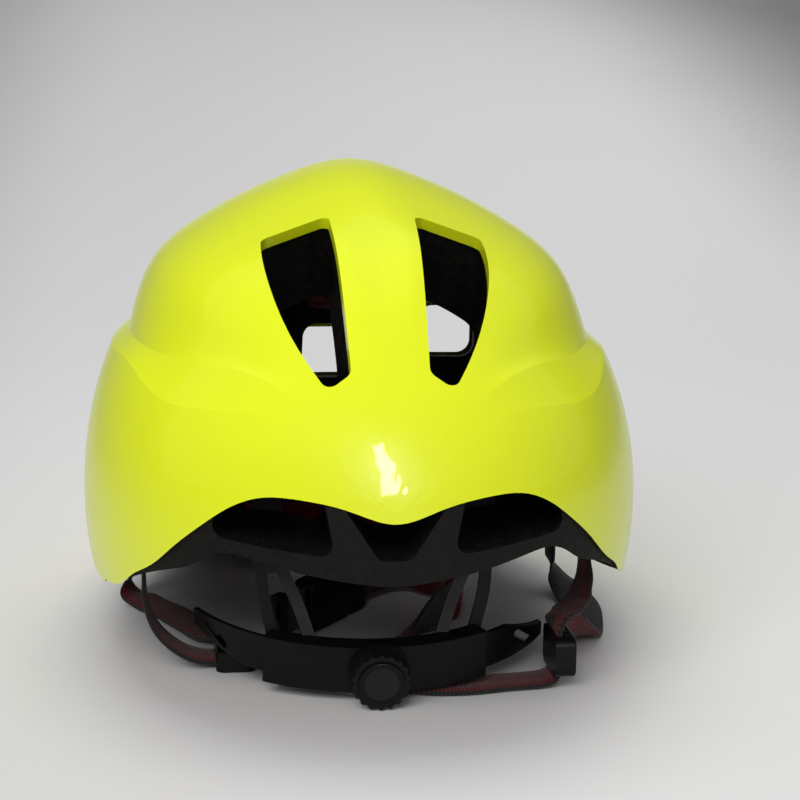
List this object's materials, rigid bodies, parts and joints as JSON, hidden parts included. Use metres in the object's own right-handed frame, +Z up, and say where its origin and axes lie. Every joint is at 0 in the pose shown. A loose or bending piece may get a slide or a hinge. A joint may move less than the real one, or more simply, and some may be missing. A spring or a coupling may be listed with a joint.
{
  "type": "aero time trial helmet",
  "caption": "Vented aero cycling helmet with a moulded skin on a foam liner, soft pads, webbing straps, a side-release buckle and a height-adjustable cradle tightened by a rear dial.",
  "frame": {"origin": "on the table, under the middle of the helmet's bounding box; the helmet stands on its front brim and its rear dial", "axes": "+X to the rider's right, +Y to the front, +Z up"},
  "size_m": [0.2022, 0.2858, 0.177],
  "materials": {
    "shell_yellow": "gloss",
    "foam_black": "matte",
    "pad_red": "matte",
    "patch_black": "matte",
    "anchor_black": "satin",
    "webbing": "matte",
    "divider_black": "satin",
    "buckle_black": "satin",
    "keeper_black": "matte",
    "cradle_black": "satin",
    "band_black": "satin",
    "dial_black": "satin",
    "grip_rubber": "matte",
    "cap_grey": "satin",
    "pinion_white": "satin",
    "screw_steel": "brushed",
    "spring_steel": "brushed"
  },
  "bodies": {
    "helmet": {"outer_shell": "shell_yellow", "foam_liner": "foam_black", "brow_pad": "pad_red", "crown_pad_center": "pad_red", "crown_pad_left": "pad_red", "crown_pad_right": "pad_red", "side_pad_left": "pad_red", "side_pad_right": "pad_red", "pad_patches": "patch_black", "strap_anchor_rear": "anchor_black", "strap_anchor_front": "anchor_black", "adjuster_anchors": "anchor_black", "front_strap_left": "webbing", "front_strap_right": "webbing", "rear_strap_left": "webbing", "rear_strap_right": "webbing", "divider_left": "divider_black", "divider_right": "divider_black", "chin_pad": "pad_red", "buckle_female": "buckle_black"},
    "cradle": {"cradle_frame": "cradle_black", "cradle_cover": "cradle_black", "occipital_pad_left": "pad_red", "occipital_pad_right": "pad_red"},
    "dial": {"dial_knob": "dial_black", "dial_grip": "grip_rubber", "dial_cap": "cap_grey", "dial_pinion": "pinion_white", "dial_screw": "screw_steel", "detent_spring": "spring_steel"},
    "fit_band_left": {"band_left": "band_black"},
    "fit_band_right": {"band_right": "band_black"},
    "buckle_plug": {"buckle_male": "buckle_black"},
    "keeper": {"strap_keeper": "keeper_black"}
  },
  "joints": [
    {"name": "height_adjust", "type": "slide", "parent": "helmet", "child": "cradle", "axis": [0, 0, 1], "range_m": [0, 0.01]},
    {"name": "dial_turn", "type": "hinge", "parent": "cradle", "child": "dial", "pos_m": [0, -0.0971, 0.0117], "axis": [0, 0.9903, 0.1392], "range_deg": [0, 214.8]},
    {"name": "band_left_draw", "type": "hinge", "parent": "cradle", "child": "fit_band_left", "pos_m": [0, -0.02273, 0.02215], "axis": [0, -0.1392, 0.9903], "range_deg": [0, 10.4]},
    {"name": "band_right_draw", "type": "hinge", "parent": "cradle", "child": "fit_band_right", "pos_m": [0, -0.02273, 0.02215], "axis": [0, -0.1392, 0.9903], "range_deg": [-10.2, 0]},
    {"name": "buckle_release", "type": "slide", "parent": "helmet", "child": "buckle_plug", "axis": [0.6, 0.8, 0], "range_m": [0, 0.017], "deforming": ["rear_strap_right"]},
    {"name": "keeper_slide", "type": "slide", "parent": "helmet", "child": "keeper", "axis": [0.6, 0.8, 0], "range_m": [0, 0.012]}
  ],
  "couplings": [
    {"joint": "band_left_draw", "follows": "dial_turn", "ratio": 0.045326},
    {"joint": "band_right_draw", "follows": "dial_turn", "ratio": -0.044077}
  ]
}
